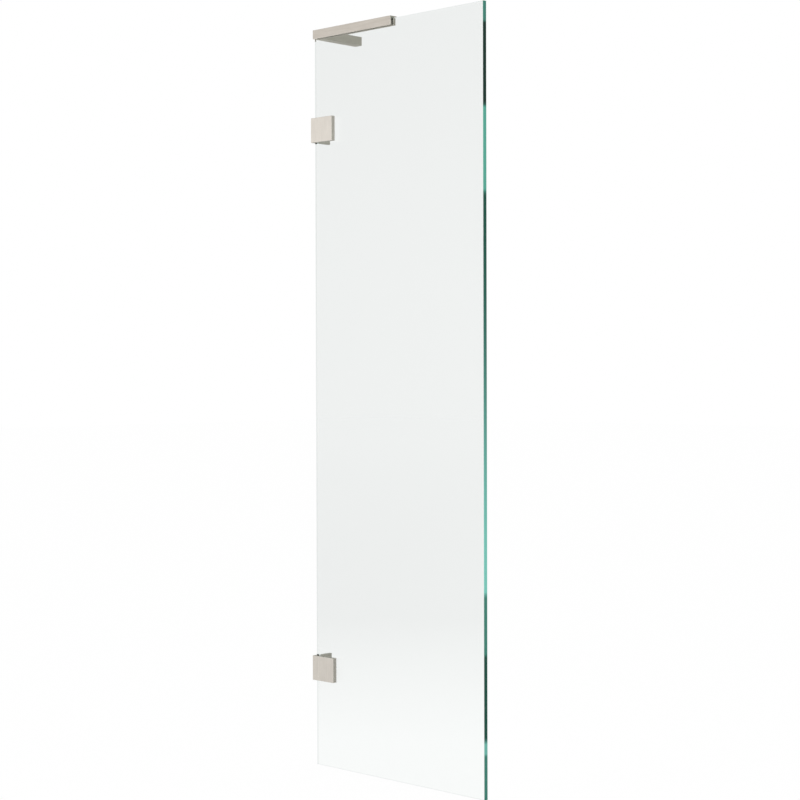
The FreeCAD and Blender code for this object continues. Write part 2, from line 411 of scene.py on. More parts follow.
def set_glass(tree, shader, ior, deep, pale):
    """Clear glass with a barely uneven tint."""
    place = add_node(tree, "ShaderNodeTexCoord")
    cloud = add_node(tree, "ShaderNodeTexNoise", values={"Scale": 3.0, "Detail": 1.0})
    tree.links.new(place.outputs["Object"], cloud.inputs["Vector"])
    tree.links.new(blend_colours(tree, cloud.outputs["Fac"], deep, pale), shader.inputs["Base Color"])
    shader.inputs["Roughness"].default_value = 0.0
    shader.inputs["IOR"].default_value = ior
    shader.inputs["Transmission Weight"].default_value = 1.0


def mix_shaders(tree, factor, first, second):
    """Mix two shaders by a factor and send the result to the output."""
    mixer = add_node(tree, "ShaderNodeMixShader")
    tree.links.new(factor, mixer.inputs["Fac"])
    tree.links.new(first, mixer.inputs[1])
    tree.links.new(second, mixer.inputs[2])
    tree.links.new(mixer.outputs["Shader"], tree.nodes["Material Output"].inputs["Surface"])


def make_clear_glass():
    """The broad faces: glass to the eye, and nearly nothing to a lamp."""
    material, tree, shader = new_material("clear_glass")
    set_glass(tree, shader, GLASS_IOR, GLASS_TINT_DEEP, GLASS_TINT)
    path = add_node(tree, "ShaderNodeLightPath")
    open_way = add_node(tree, "ShaderNodeBsdfTransparent", values={"Color": (*GLASS_SHADOW, 1)})
    mix_shaders(tree, path.outputs["Is Shadow Ray"], shader.outputs["BSDF"], open_way.outputs["BSDF"])
    return material


clear_glass = make_clear_glass()
print("Glass", clear_glass.name)

# %% [markdown]
# ## Edges of the glass
# Seen from the edge, a long way through the sheet, the slight green turns deep teal, with dark and
# bright stretches. Those are reflections, which change with every step to the side. Here they are
# painted
# reflections: tones laid along the height of the edge, so that they stay. An edge has them when met from
# outside. When met from inside it is clear glass, so that the edges behind the faces stay as faint as on
# a real sheet. Geometry's Backfacing tells the two apart.

# %% An edge finish
EDGE_ROUGHNESS, EDGE_GLOSS = (0.16, 0.30), 0.1
ARRIS_PALE = (0.85, 0.89, 0.875)
CLEAR_INSIDE = (GLASS_IOR, GLASS_TINT_DEEP, GLASS_TINT)
glass_low, glass_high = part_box("glass_panel")


def height_ramp(tree, stops):
    """A colour that changes along the height, from stops of a height and a tone."""
    place = add_node(tree, "ShaderNodeTexCoord")
    split = add_node(tree, "ShaderNodeSeparateXYZ")
    ramp = add_node(tree, "ShaderNodeValToRGB")
    tree.links.new(place.outputs["Object"], split.inputs["Vector"])
    tree.links.new(remap(tree, split.outputs["Z"], 0, 1, 0, glass_high.z), ramp.inputs["Fac"])
    marks = ramp.color_ramp.elements
    for index, (height, tone) in enumerate(stops):
        mark = marks[index] if index < 2 else marks.new(height / glass_high.z)
        mark.position = height / glass_high.z
        mark.color = (*tone, 1)
    return ramp.outputs["Color"]


def set_matt(shader, tone):
    """A plain matt finish with no gloss."""
    shader.inputs["Base Color"].default_value = (*tone, 1)
    shader.inputs["Roughness"].default_value = 1.0
    shader.inputs["Specular IOR Level"].default_value = 0.0


def make_edge_glass(name, stops, inside=CLEAR_INSIDE):
    """An edge with tones along its height and a fine grinding line.

    What it is from inside is clear glass, given by its IOR and two tints, or matt and pale without them.
    """
    material, tree, outer = new_material(name)
    tree.links.new(height_ramp(tree, stops), outer.inputs["Base Color"])
    brushing = add_node(tree, "ShaderNodeGroup", node_tree=BRUSHING)
    tree.links.new(remap(tree, brushing.outputs["Streaks"], *EDGE_ROUGHNESS), outer.inputs["Roughness"])
    outer.inputs["IOR"].default_value = GLASS_IOR
    outer.inputs["Specular IOR Level"].default_value = EDGE_GLOSS
    inner = add_node(tree, "ShaderNodeBsdfPrincipled")
    if inside:
        set_glass(tree, inner, *inside)
    else:
        set_matt(inner, ARRIS_PALE)
    facing = add_node(tree, "ShaderNodeNewGeometry")
    mix_shaders(tree, facing.outputs["Backfacing"], outer.outputs["BSDF"], inner.outputs["BSDF"])
    return material


print("Edge finish ready")

# %% [markdown]
# ## Free edge
# Each stretch of the free edge is a painted reflection, told by the height of its foot and its tone.
# Most are even, with a short jump between them, and the longest is a slow fade. A formula gives the
# stops of the fade.

# %% Stretches of the free edge
# Tones of the painted reflections in the free edge. Green and teal are also the plain edges' own tones.
EDGE_DEEP = (0.008, 0.030, 0.022)
EDGE_SHADE = (0.013, 0.068, 0.048)
EDGE_DUSK = (0.014, 0.075, 0.053)
EDGE_GREEN = (0.050, 0.200, 0.155)
EDGE_TEAL = (0.090, 0.350, 0.270)
EDGE_SEA = (0.150, 0.430, 0.365)
EDGE_BRIGHT = (0.190, 0.540, 0.460)
JUMP = 2 * MM
FADE_FOOT, FADE_TOP, FADE_STEPS, FADE_BIAS = 0.386, 1.142, 8, 1.35
LOW_FEET = [(0.0, EDGE_GREEN), (0.084, EDGE_SEA), (0.110, EDGE_SHADE), (0.271, EDGE_GREEN)]
HIGH_FEET = [(FADE_TOP, EDGE_TEAL), (1.305, EDGE_DEEP), (1.463, EDGE_GREEN)]


def even_stops(feet, top):
    """Stops of even stretches: each runs from its foot up to the next one, with a short jump between."""
    stops = []
    for (foot, tone), (next_foot, _) in zip(feet, [*feet[1:], (top, None)]):
        stops += [(foot + JUMP, tone), (next_foot, tone)]
    return stops


def fade_stops():
    """Stops of the long painted reflection that fades from bright up to dusk, slow at both ends."""
    stops = []
    for step in range(FADE_STEPS + 1):
        drop = 1 - step / FADE_STEPS
        eased = drop ** FADE_BIAS
        share = eased * eased * (3 - 2 * eased)
        tone = Vector(EDGE_DUSK).lerp(Vector(EDGE_BRIGHT), share)
        stops.append((FADE_TOP - drop * (FADE_TOP - FADE_FOOT - JUMP), tuple(tone)))
    return stops


# The painted reflections of the free edge, from the bottom to the top.
painted_reflection_stops = even_stops(LOW_FEET, FADE_FOOT) + fade_stops() + even_stops(HIGH_FEET, glass_high.z)
free_edge = make_edge_glass("glass_free_edge", painted_reflection_stops)
print("Glass", free_edge.name, len(painted_reflection_stops), "stops")

# %% [markdown]
# ## Ground edges
# The edges at the wall, the top and the bottom and the narrow arrises are only ground: from inside they
# let pale light through and mirror nothing, so they don't bend light. The walls of the notches and holes
# are ground too, and from inside they are matt and pale. The top of the wall edge is polished, and from
# inside it is as clear as the free edge.

# %% The other edges
GROUND_IOR = 1.0
WALL_TINT, WALL_TINT_DEEP = (0.77, 0.80, 0.79), (0.75, 0.78, 0.77)
LEVEL_TINT, ARRIS_TINT = (0.80, 0.83, 0.82), (0.92, 0.94, 0.93)

plain_stops = [(0.0, EDGE_GREEN), (glass_high.z, EDGE_TEAL)]
pale_stops = [(0.0, ARRIS_PALE), (glass_high.z, ARRIS_PALE)]
plain_edge = make_edge_glass("glass_edge", plain_stops)
wall_edge = make_edge_glass("glass_wall_edge", plain_stops, (GROUND_IOR, WALL_TINT_DEEP, WALL_TINT))
level_edge = make_edge_glass("glass_level_edge", plain_stops, (GROUND_IOR, LEVEL_TINT, LEVEL_TINT))
ground_arris = make_edge_glass("ground_arris", pale_stops, (GROUND_IOR, ARRIS_TINT, ARRIS_TINT))
drilled_edge = make_edge_glass("glass_drilled_edge", plain_stops, None)
for glass in (plain_edge, wall_edge, level_edge, ground_arris, drilled_edge):
    print("Glass", glass.name)

# %% [markdown]
# ## Rubber, pads and nylon
# The rail grips the glass through a grey rubber gasket, dark rubber blocks line its notches, the
# clamps hold it between translucent pads, and white nylon sleeves keep the screws off it. They are
# moulded, so each is matt with an even grain in its colour, its roughness and a shallow bump.

# %% Moulded parts
GRAIN_DEPTH = 0.1 * MM
RUBBER = {"grains": 2500, "roughness": (0.75, 0.60), "bump": 0.25}


def moulded(name, dark, light, grains, roughness, bump):
    """A matt moulded finish with a grain."""
    material, tree, shader = new_material(name)
    grain = add_node(tree, "ShaderNodeGroup", node_tree=GRAIN)
    grain.inputs["Grains per metre"].default_value = grains
    tree.links.new(blend_colours(tree, grain.outputs["Grain"], dark, light), shader.inputs["Base Color"])
    tree.links.new(remap(tree, grain.outputs["Grain"], *roughness), shader.inputs["Roughness"])
    raise_bump(tree, shader, grain.outputs["Grain"], bump, GRAIN_DEPTH)
    return material


dark_rubber = moulded("dark_rubber", (0.065, 0.063, 0.054), (0.108, 0.106, 0.094), **RUBBER)
gasket_rubber = moulded("gasket_rubber", (0.195, 0.190, 0.162), (0.278, 0.271, 0.237), **RUBBER)
clear_pad = moulded(
    "clear_pad", (0.50, 0.525, 0.515), (0.60, 0.62, 0.61),
    grains=1800, roughness=(0.50, 0.38), bump=0.10)
nylon = moulded(
    "nylon", (0.68, 0.68, 0.65), (0.76, 0.76, 0.73),
    grains=1500, roughness=(0.55, 0.42), bump=0.08)
for finish in (dark_rubber, gasket_rubber, clear_pad, nylon):
    print("Moulded finish", finish.name)

# %% [markdown]
# ## Glass sheet
# The sheet could be a bare box, but its ground edges, its two notches and its four bored holes are
# what makes it a fitted panel. The notches and holes are cut by blocks and rods with Booleans, as a
# water jet and a drill would. A cutter reaches past the faces that it cuts, so that no thin skin is
# left over the hole.

# %% Cutters for the notches and holes
FIT_GAP = 0.1 * MM
NOTCH_RADIUS, NOTCH_STEPS = 3.0 * MM, 6
OVERSHOOT = 5.0 * MM
NEAR = 0.01 * MM
X_AXIS, Y_AXIS, Z_AXIS = range(3)


def runs_along(axis, start, end):
    """Whether an edge between two points runs along an axis."""
    return abs(start[axis] - end[axis]) > NEAR


def bevel_edges(piece, test, width, segments=1):
    """Bevel the edges whose two ends pass a test."""
    edit(piece, "EDGE")
    mesh = bmesh.from_edit_mesh(piece.data)
    for edge in mesh.edges:
        edge.select_set(test(*(vertex.co for vertex in edge.verts)))
    bmesh.update_edit_mesh(piece.data)
    bpy.ops.mesh.bevel(offset=width, segments=segments)
    bpy.ops.object.mode_set(mode="OBJECT")


def notch_cutter(side):
    """A block with two rounded corners, as large as the dark block that lines the notch."""
    low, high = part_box(side + "_neck_block")
    clear = Vector((FIT_GAP, OVERSHOOT, FIT_GAP))
    cutter = add_block("notch", low - clear + TO_WALL * (2 * OVERSHOOT), high + clear)

    def inner_corner(start, end):
        return runs_along(Y_AXIS, start, end) and start.x > high.x

    bevel_edges(cutter, inner_corner, NOTCH_RADIUS, NOTCH_STEPS)
    return cutter


def screw_places(side, y):
    """Where the two clamp screws of a bracket cross the plane at y, and the radius of their sleeves."""
    low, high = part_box(side + "_screw_sleeves")
    radius = (high.x - low.x) / 2
    return [Vector((low.x + radius, y, z)) for z in (low.z + radius, high.z - radius)], radius


def hole_cutters(side):
    """Rods a little wider than the sleeves."""
    places, radius = screw_places(side, glass_low.y - OVERSHOOT)
    through = TO_BACK * (glass_high.y - glass_low.y + 2 * OVERSHOOT)
    return [add_rod("bore", place, place + through, radius + FIT_GAP) for place in places]


print("Glass cutters ready")

# %% [markdown]
# ## Shape of the sheet
# The two long edges at the free side get an arris by hand, a broad one in front, because people touch
# them, and the Bevel modifier breaks all the others. A slice just under the bar parts the wall edge
# into a polished top and a rough rest. Then the cutters do their work.

# %% Model the sheet
FREE_ARRIS_FRONT, FREE_ARRIS_BACK = 1.2 * MM, 0.2 * MM
GLASS_ARRIS, ARRIS_ANGLE = 0.15 * MM, math.radians(60)
POLISHED_DROP = 5.0 * MM
SIDES = ("upper", "lower")


def front_upright(start, end):
    """Whether an edge is the long front one at the free side."""
    return runs_along(Z_AXIS, start, end) and start.x > glass_high.x - NEAR and start.y < 0


def back_upright(start, end):
    """Whether an edge is the long back one at the free side."""
    return runs_along(Z_AXIS, start, end) and start.x > glass_high.x - NEAR and start.y > 0


glass_sheet = add_block("glass_sheet", glass_low, glass_high)
GLASS_SLOTS = (clear_glass, plain_edge, free_edge, ground_arris, wall_edge, level_edge, drilled_edge)
for material in GLASS_SLOTS:
    glass_sheet.data.materials.append(material)
bevel_edges(glass_sheet, front_upright, FREE_ARRIS_FRONT)
bevel_edges(glass_sheet, back_upright, FREE_ARRIS_BACK)
apply_modifier(glass_sheet, "BEVEL", width=GLASS_ARRIS, segments=1, limit_method="ANGLE",
               angle_limit=ARRIS_ANGLE)
polished_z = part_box("angle_bar")[0].z - POLISHED_DROP
edit(glass_sheet)
slice_at((0, 0, polished_z), UP)
bpy.ops.object.mode_set(mode="OBJECT")
for side in SIDES:
    cut_away(glass_sheet, [notch_cutter(side)] + hole_cutters(side))
print(glass_sheet.name, len(glass_sheet.data.polygons), "faces")

# %% [markdown]
# ## Finish of each face of the glass
# The broad faces stay clear. Every other face gets one of the edge finishes, by where it lies and
# which way it looks. The narrow arrises are ground and not polished, so they are pale and matt. The
# broad arris at the free side shows the same painted reflections as the edge beside it.

# %% Finish the sheet
SLANTED = 0.5


def glass_finish(face):
    """The finish of a face of the sheet."""
    if abs(face.normal.y) > STRAIGHT:
        return clear_glass
    if face.normal.x > SLANTED and face.center.x > glass_high.x - FREE_ARRIS_FRONT:
        return free_edge
    if looks(face.normal, TO_WALL) and face.center.x < glass_low.x + NEAR:
        return plain_edge if face.center.z > polished_z else wall_edge
    if abs(face.normal.y) > SLANTED:
        return ground_arris
    if abs(face.normal.z) > STRAIGHT and not glass_low.z + NEAR < face.center.z < glass_high.z - NEAR:
        return level_edge
    return drilled_edge


for face in glass_sheet.data.polygons:
    face.material_index = GLASS_SLOTS.index(glass_finish(face))
finish_piece(glass_sheet, "glass_panel")
for index, material in enumerate(GLASS_SLOTS):
    count = sum(face.material_index == index for face in glass_sheet.data.polygons)
    print(material.name, count, "faces")

# %% [markdown]
# ## Holes of the brackets
# A bracket has two countersunk holes for wall screws in its leg, and two blind holes for the clamp
# screws in the back of its plate. A countersink could be a second cutter, but two cutters that meet can
# leave slivers, so it is a cone with the hole's rod extruded from it.

# %% Cutters for the bracket's holes
WALL_HOLE_FLARE = 2.65 * MM
CLAMP_SCREW_RADIUS, CLAMP_HOLE_DEPTH = 3.0 * MM, 6.0 * MM
THREAD_GAP = 0.05 * MM
PAST_FACE = 1.0 * MM


def sink_cutter(mouth, inwards, depth, radius, flare):
    """A hole and its 90 degree countersink in one, reaching past both faces that it cuts."""
    cutter = add_rod("sink", mouth - inwards * PAST_FACE, mouth + inwards * flare,
                     radius + flare + PAST_FACE, tip=radius)
    edit(cutter)
    pick_faces(cutter, lambda middle, normal: looks(normal, inwards))
    extrude(inwards * (depth - flare + PAST_FACE))
    face_outwards()
    return cutter


def wall_hole_cutters(side, leg_x):
    """Countersunk holes through a wall leg, placed and sized by the record's mount."""
    mount = next(entry for entry in frame["record"]["mounts"] if entry["name"] == side + "_wall_bolts")
    radius = mount["dims"]["hole_r_mm"] * MM
    pitch = mount["dims"]["spacing_y_mm"] * MM
    cutters = []
    for step in (-pitch / 2, pitch / 2):
        wall = Vector(mount["pos_m"]) + UP * step
        mouth = Vector((leg_x, wall.y, wall.z))
        cutters.append(sink_cutter(mouth, TO_WALL, leg_x - wall.x, radius, WALL_HOLE_FLARE))
    return cutters


def thread_cutters(side, plate_back):
    """Blind holes in the back of the plate that take the clamp screws."""
    cutters = []
    for place in screw_places(side, plate_back)[0]:
        start, end = place + TO_BACK * PAST_FACE, place + TO_FRONT * CLAMP_HOLE_DEPTH
        cutters.append(add_rod("thread", start, end, CLAMP_SCREW_RADIUS + THREAD_GAP))
    return cutters


print("Bracket cutters ready")

# %% [markdown]
# ## Buffed edges with a painted highlight, and copies
# Brackets and clamp plates are brushed up and down and buffed at their edges, where a lighter metal is
# also a painted highlight. The lower bracket and clamp are the upper ones again, so they are copies,
# each with a mesh of its own.

# %% Buff, highlight and copy
EDGE_BREAK = 0.4 * MM
FLAT_ANGLE = math.radians(1)


def join_flats():
    """Join the faces of the open piece that lie in one plane."""
    bpy.ops.mesh.select_all(action="SELECT")
    bpy.ops.mesh.dissolve_limited(angle_limit=FLAT_ANGLE)


def brush_buff_and_highlight(piece):
    """Brush the faces of a piece up and down, and round its edges and give them the buffed metal with
    its painted highlight.
    """
    for material in (nickel_upright, nickel_edge):
        piece.data.materials.append(material)
    round_edges(piece, EDGE_BREAK)


def copy_piece(piece, name, move):
    """A copy with a mesh of its own, moved along a straight line."""
    take(piece)
    bpy.ops.object.duplicate(linked=False)
    bpy.ops.transform.translate(value=tuple(move))
    apply_place()
    bpy.context.object.name = name
    return bpy.context.object


def finish_pair(upper, name, node):
    """Copy an upper piece down to the lower bracket, and finish both."""
    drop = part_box("lower_" + node)[0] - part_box("upper_" + node)[0]
    lower = copy_piece(upper, "lower_" + name, drop)
    for side, piece in zip(SIDES, (upper, lower)):
        finish_piece(piece, side + "_" + node)
        print(piece.name, "stands for", side + "_" + node)


print("Edge break", EDGE_BREAK / MM, "mm")

# %% [markdown]
# ## Clamp brackets
# Each bracket is one angle of solid metal: a square plate on the front of the glass and a leg that
# passes through the notch and lies on the wall behind. It could be two blocks, but a real angle has no
# seam, so it is one block that is sliced where the leg leaves it, and the leg is extruded from there.
# The edges are rounded before the holes are drilled, so that the holes keep a crisp rim.

# %% Model the brackets
WALL_LEG_THICK = 6.5 * MM


def model_bracket(side, name):
    """Plate and leg from one block."""
    low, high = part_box(side + "_bracket")
    plate_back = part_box(side + "_front_pad")[0].y
    leg_x = low.x + WALL_LEG_THICK
    piece = add_block(side + "_" + name, low, (high.x, plate_back, high.z))
    edit(piece)
    slice_at((leg_x, 0, 0), TO_FREE_EDGE)
    pick_faces(piece, lambda middle, normal: looks(normal, TO_BACK) and middle.x < leg_x)
    extrude(TO_BACK * (high.y - plate_back))
    join_flats()
    face_outwards()
    brush_buff_and_highlight(piece)
    cut_away(piece, wall_hole_cutters(side, leg_x) + thread_cutters(side, plate_back))
    smooth(piece)
    return piece


finish_pair(model_bracket("upper", "bracket_body"), "bracket_body", "bracket")

# %% [markdown]
# ## Clamp plates and their screws
# Behind the glass a smaller plate is drawn to the front plate by two countersunk socket screws. The
# plate is a block with rounded edges and two countersunk holes. A screw head is a short cone with a
# hexagonal socket, which a six-sided rod cuts, and the shank is extruded from it. The second screw is
# a copy of the first, and the lower clamp is a copy of the upper one.

# %% Model the clamp plates and screws
HEAD_FLARE = 3.0 * MM
SHANK_GAP = 0.2 * MM
SOCKET_ACROSS, SOCKET_DEPTH, SOCKET_SIDES = 4.0 * MM, 2.6 * MM, 6


def model_clamp_plate(side, name):
    """A block with rounded edges, drilled and countersunk from behind."""
    low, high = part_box(side + "_clamp_plate")
    plate = add_block(side + "_" + name, low, high)
    brush_buff_and_highlight(plate)
    radius, flare = CLAMP_SCREW_RADIUS + SHANK_GAP, HEAD_FLARE + FIT_GAP - SHANK_GAP
    mouths = screw_places(side, high.y)[0]
    cut_away(plate, [sink_cutter(mouth, TO_FRONT, high.y - low.y, radius, flare) for mouth in mouths])
    smooth(plate)
    return plate


def model_screw(name, mouth, length):
    """A countersunk screw with a hexagonal socket."""
    screw = add_rod(name, mouth, mouth + TO_FRONT * HEAD_FLARE,
                    CLAMP_SCREW_RADIUS + HEAD_FLARE, tip=CLAMP_SCREW_RADIUS)
    edit(screw)
    pick_faces(screw, lambda middle, normal: looks(normal, TO_FRONT))
    extrude(TO_FRONT * (length - HEAD_FLARE))
    face_outwards()
    screw.data.materials.append(screw_steel)
    start, end = mouth + TO_BACK * PAST_FACE, mouth + TO_FRONT * SOCKET_DEPTH
    cut_away(screw, [add_rod("socket", start, end, SOCKET_ACROSS / math.sqrt(3), SOCKET_SIDES)])
    return screw


def model_clamp_screws(side, name):
    """A screw and its copy, joined in one piece."""
    low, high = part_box(side + "_clamp_screws")
    first, second = screw_places(side, high.y)[0]
    screw = model_screw(side + "_" + name, first, high.y - low.y)
    twin = copy_piece(screw, "second_screw", second - first)
    take(screw)
    twin.select_set(True)
    bpy.ops.object.join()
    smooth(screw)
    return screw


finish_pair(model_clamp_plate("upper", "clamp_cover"), "clamp_cover", "clamp_plate")
finish_pair(model_clamp_screws("upper", "clamp_bolts"), "clamp_bolts", "clamp_screws")

# %% [markdown]
# ## Holes of the bar
# A long pocket with round ends in the bar's wall side hides the strip that the bar slides over. Grub
# screws from below lock it there, and others press the gasket on the glass. The pocket is a block whose
# ends are bevelled round, and the screw holes are plain rods, spread evenly.

# %% Cutters for the bar
GRUB_RADIUS = 2.0 * MM
RAIL_SCREWS, STRIP_SCREWS = 3, 2
STRIP_GAP, HEAD_ROOM = 0.2 * MM, 4.0 * MM
POCKET_STEPS = 12


def spread(first, last, count):
    """Evenly spaced places from the first to the last."""
    return [first + (last - first) * step / (count - 1) for step in range(count)]


def grub_cutters():
    """Threaded holes through the rail's back lip and up into the pocket."""
    radius = GRUB_RADIUS + THREAD_GAP
    low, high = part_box("rail_grub_screws")
    z = (low.z + high.z) / 2
    cutters = []
    for x in spread(low.x + GRUB_RADIUS, high.x - GRUB_RADIUS, RAIL_SCREWS):
        cutters.append(add_rod("thread", (x, low.y - PAST_FACE, z), (x, high.y + PAST_FACE, z), radius))
    low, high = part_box("strip_grub_screws")
    x = (low.x + high.x) / 2
    for y in spread(low.y + GRUB_RADIUS, high.y - GRUB_RADIUS, STRIP_SCREWS):
        cutters.append(add_rod("thread", (x, y, low.z - PAST_FACE), (x, y, high.z + PAST_FACE), radius))
    return cutters


def pocket_cutter():
    """A block with half-round ends, a little larger than the wall strip."""
    low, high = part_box("wall_strip")
    room = Vector((0, STRIP_GAP, STRIP_GAP))
    pocket = add_block(
        "pocket", low - room + TO_WALL * PAST_FACE, high + room + TO_FREE_EDGE * HEAD_ROOM)
    round_end = (high.z - low.z) / 2 + STRIP_GAP

    def end_corner(start, end):
        return runs_along(X_AXIS, start, end)

    bevel_edges(pocket, end_corner, round_end - NEAR, POCKET_STEPS)
    return pocket


print("Bar cutters ready")

# %% [markdown]
# ## Angle bar
# The bar is one welded angle. Its rail is an upside-down U over the top edge of the glass, so it is
# drawn as that profile: a plane, sliced where the slot is, with the slot's face deleted, and extruded
# to the rail's length. The leg along the wall is extruded from the rail's back face, and a slice there
# lets each arm have its own brushing, and the rail a darker tone that is painted shade. The holes come
# last.

# %% Model the bar
BAR_EDGE_BREAK = 0.3 * MM
BAR_SLOTS = (nickel_bar_shaded, nickel_edge, nickel_leg)


def rail_profile(low, high):
    """The rail's end as a flat U, open below, left in edit mode."""
    slot_low, slot_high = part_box("rail_gasket")
    middle = (low + high) / 2
    bpy.ops.object.select_all(action="DESELECT")
    bpy.ops.mesh.primitive_plane_add(
        size=1, location=(low.x, middle.y, middle.z), rotation=(0, math.pi / 2, 0))
    bpy.ops.transform.resize(value=(1, high.y - low.y, high.z - low.z))
    apply_place()
    profile = bpy.context.object
    edit(profile)
    for y in (slot_low.y, slot_high.y):
        slice_at((0, y, 0), TO_BACK)
    slice_at((0, 0, slot_high.z), UP)

    def in_slot(place, normal):
        return slot_low.y < place.y < slot_high.y and place.z < slot_high.z

    pick_faces(profile, in_slot)
    bpy.ops.mesh.delete(type="FACE")
    return profile


def model_bar():
    """A U-shaped rail and a solid leg, in one piece."""
    low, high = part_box("angle_bar")
    rail_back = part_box("rail_grub_screws")[1].y
    leg_x = low.x + rail_back - low.y
    bar = rail_profile(low, Vector((high.x, rail_back, high.z)))
    bar.name = "top_bar"
    bpy.ops.mesh.select_all(action="SELECT")
    extrude(TO_FREE_EDGE * (high.x - low.x))
    slice_at((leg_x, 0, 0), TO_FREE_EDGE)
    bpy.ops.mesh.select_all(action="SELECT")
    bpy.ops.mesh.normals_make_consistent(inside=False)
    pick_faces(bar, lambda place, normal: looks(normal, TO_BACK) and place.x < leg_x
               and place.y > rail_back - NEAR)
    extrude(TO_BACK * (high.y - rail_back))
    join_flats()
    slice_at((0, rail_back, 0), TO_BACK)
    face_outwards()
    for material in BAR_SLOTS:
        bar.data.materials.append(material)
    for face in bar.data.polygons:
        # The leg keeps the plates' tone, and the rail's finish is darker as painted shade.
        arm = nickel_leg if face.center.y > rail_back + NEAR else nickel_bar_shaded
        face.material_index = BAR_SLOTS.index(arm)
    round_edges(bar, BAR_EDGE_BREAK)
    cut_away(bar, [pocket_cutter()] + grub_cutters())
    smooth(bar)
    finish_piece(bar, "angle_bar")


model_bar()

# %% [markdown]
# ## Finishes on the carried-over parts
# The pads, blocks, sleeves, gasket, wall strip and grub screws already have the right shape, so they
# stay as they are and only get their finish.

# %% Dress the CAD nodes
finishes = {
    "rail_gasket": gasket_rubber,
    "rail_grub_screws": screw_steel,
    "strip_grub_screws": screw_steel,
    "wall_strip": strip_steel,
}
for side in SIDES:
    finishes.update({
        side + "_front_pad": clear_pad, side + "_back_pad": clear_pad,
        side + "_neck_block": dark_rubber, side + "_screw_sleeves": nylon})
for node, material in finishes.items():
    frame["nodes"][node].material_slots[0].material = material
    print(node, material.name)

# %% [markdown]
# ## Rays in the studio
# The screen stands on a plain white floor in front of a white background. To the eye and to a ray
# that has only passed glass, both are plain white. What a face mirrors matters more here. Dark and
# bright cards could stand around the screen, but they would be in the way of other views. So Light Path
# tells apart a ray that clear glass has mirrored, one that satin metal has and a diffuse one, and the
# studio has other levels for each.

# %% Kinds of ray
ROOM_GREY_TINT = (0.95, 1.0, 0.94)


def maths(tree, operation, first, second):
    """A Math node on two sockets or numbers."""
    node = add_node(tree, "ShaderNodeMath", operation=operation)
    for socket, value in zip(node.inputs, (first, second)):
        if isinstance(value, (int, float)):
            socket.default_value = value
        else:
            tree.links.new(value, socket)
    return node.outputs[0]


def towards(tree, direction, vector, start, end):
    """A mask that rises from 0 to 1 as a vector reaches further along a direction."""
    dot = add_node(tree, "ShaderNodeVectorMath", operation="DOT_PRODUCT")
    dot.inputs[1].default_value = direction
    tree.links.new(vector, dot.inputs[0])
    return remap(tree, dot.outputs["Value"], 0, 1, start, end)


def dimmed(tree, mask, level):
    """1 outside a mask and the given level inside it."""
    drop = maths(tree, "SUBTRACT", 1.0, level)
    return maths(tree, "SUBTRACT", 1.0, maths(tree, "MULTIPLY", mask, drop))


def ray_kinds(tree):
    """Masks for a ray that clear glass has mirrored, one that satin metal has, and a diffuse one."""
    path = add_node(tree, "ShaderNodeLightPath")
    mirrored = maths(tree, "GREATER_THAN", path.outputs["Glossy Depth"], 0.5)
    sharp = maths(tree, "MULTIPLY", mirrored, path.outputs["Is Singular Ray"])
    bounced = maths(tree, "SUBTRACT", path.outputs["Is Reflection Ray"], path.outputs["Is Diffuse Ray"])
    soft = maths(tree, "SUBTRACT", bounced, path.outputs["Is Singular Ray"])
    return sharp, maths(tree, "MAXIMUM", soft, 0.0), path.outputs["Is Diffuse Ray"]


def room_for_metal(tree, soft, front, grey, bright):
    """How far a satin metal sees above or below white: bright in front, and grey elsewhere."""
    gain = maths(tree, "MULTIPLY", front, maths(tree, "SUBTRACT", bright, grey))
    return maths(tree, "MULTIPLY", maths(tree, "ADD", gain, grey - 1), soft)


def grey_tint(tree, soft, front, behind):
    """The colour of what is mirrored: white in front, and a greenish grey at the sides and behind."""
    side = maths(tree, "MULTIPLY", remap(tree, front, 1, 0), soft)
    return blend_colours(tree, maths(tree, "ADD", side, behind), (1, 1, 1), ROOM_GREY_TINT)


print("Ray helpers ready")

# %% [markdown]
# ## World
# Clear glass looks slightly grey because it mirrors a dark part of the room, and it fades to white near
# the bottom because there it mirrors the bright floor. So its ray sees a dark sector of the room and the
# floor to the front left, with no step where the two meet. Satin metal blurs what it mirrors. Its room
# is bright low in front, dimmer higher up, and mid grey at the sides and behind, also where the metal's
# ray then passes the glass. That gives bright fronts and darker sides.

# %% World
DARK_SIDE = Vector((-0.70, -0.71, 0)).normalized()
DARK_SECTOR, DARK_RISE = (0.90, 0.955), (0.05, 0.18)
ROOM_DARK_LOW, ROOM_DARK_HIGH = 0.175, 0.03
BRIGHT_SIDE = Vector((-0.62, -0.785, 0)).normalized()
BRIGHT_SECTOR, HIGH_RISE = (0.0, 0.75), (0.15, 0.45)
ROOM_FRONT, ROOM_HIGH, ROOM_GREY = 1.10, 0.54, 0.50
BACK_SECTOR, ROOM_BACK = (0.0, 0.3), 0.42
AMBIENT = 0.9


